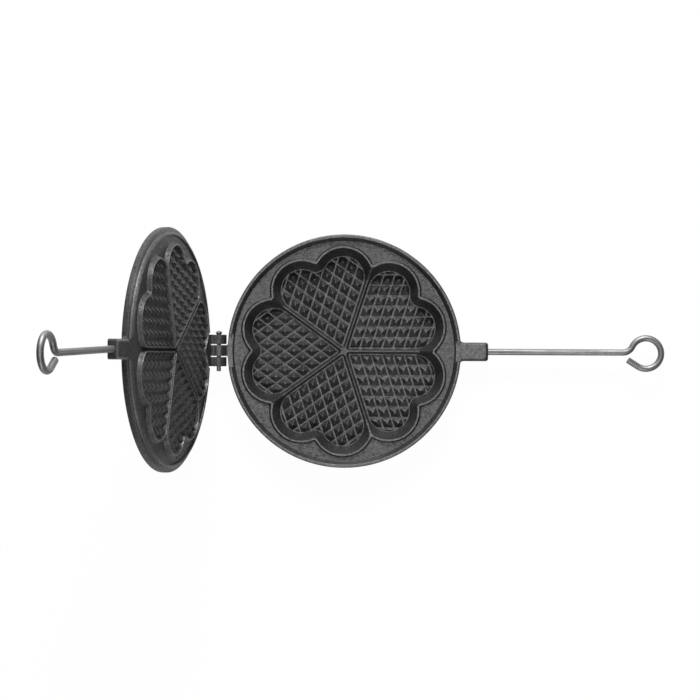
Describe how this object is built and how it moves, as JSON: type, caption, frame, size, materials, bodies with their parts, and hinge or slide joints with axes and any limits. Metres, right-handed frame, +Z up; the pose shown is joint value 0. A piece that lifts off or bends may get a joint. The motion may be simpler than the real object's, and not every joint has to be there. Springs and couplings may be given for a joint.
{
  "type": "stovetop waffle iron",
  "caption": "Hinged pair of round cast plates with heart-shaped waffle pockets, each with a long bent-wire handle; it stands open at a stop and folds shut.",
  "frame": {"origin": "centre of the lower plate's flat underside, which rests on the stove", "axes": "+X from the hinge towards the lower handle's eye, +Z up out of the lower plate's pockets, Y along the hinge pin with +Y at the pin's head"},
  "size_m": [0.5397, 0.22, 0.418],
  "materials": {
    "cast_iron": "seasoned sand-cast, fine grain",
    "handle_steel": "drawn stainless wire",
    "pin_steel": "dull steel"
  },
  "bodies": {
    "lower": {"lower_plate": "cast_iron", "lower_handle": "handle_steel"},
    "upper": {"upper_plate": "cast_iron", "upper_handle": "handle_steel", "hinge_pin": "pin_steel"}
  },
  "joints": [
    {"name": "lid_hinge", "type": "hinge", "parent": "lower", "child": "upper", "pos_m": [-0.1184, 0, 0.0142], "axis": [0, 1, 0], "range_deg": [0, 104.9]}
  ]
}
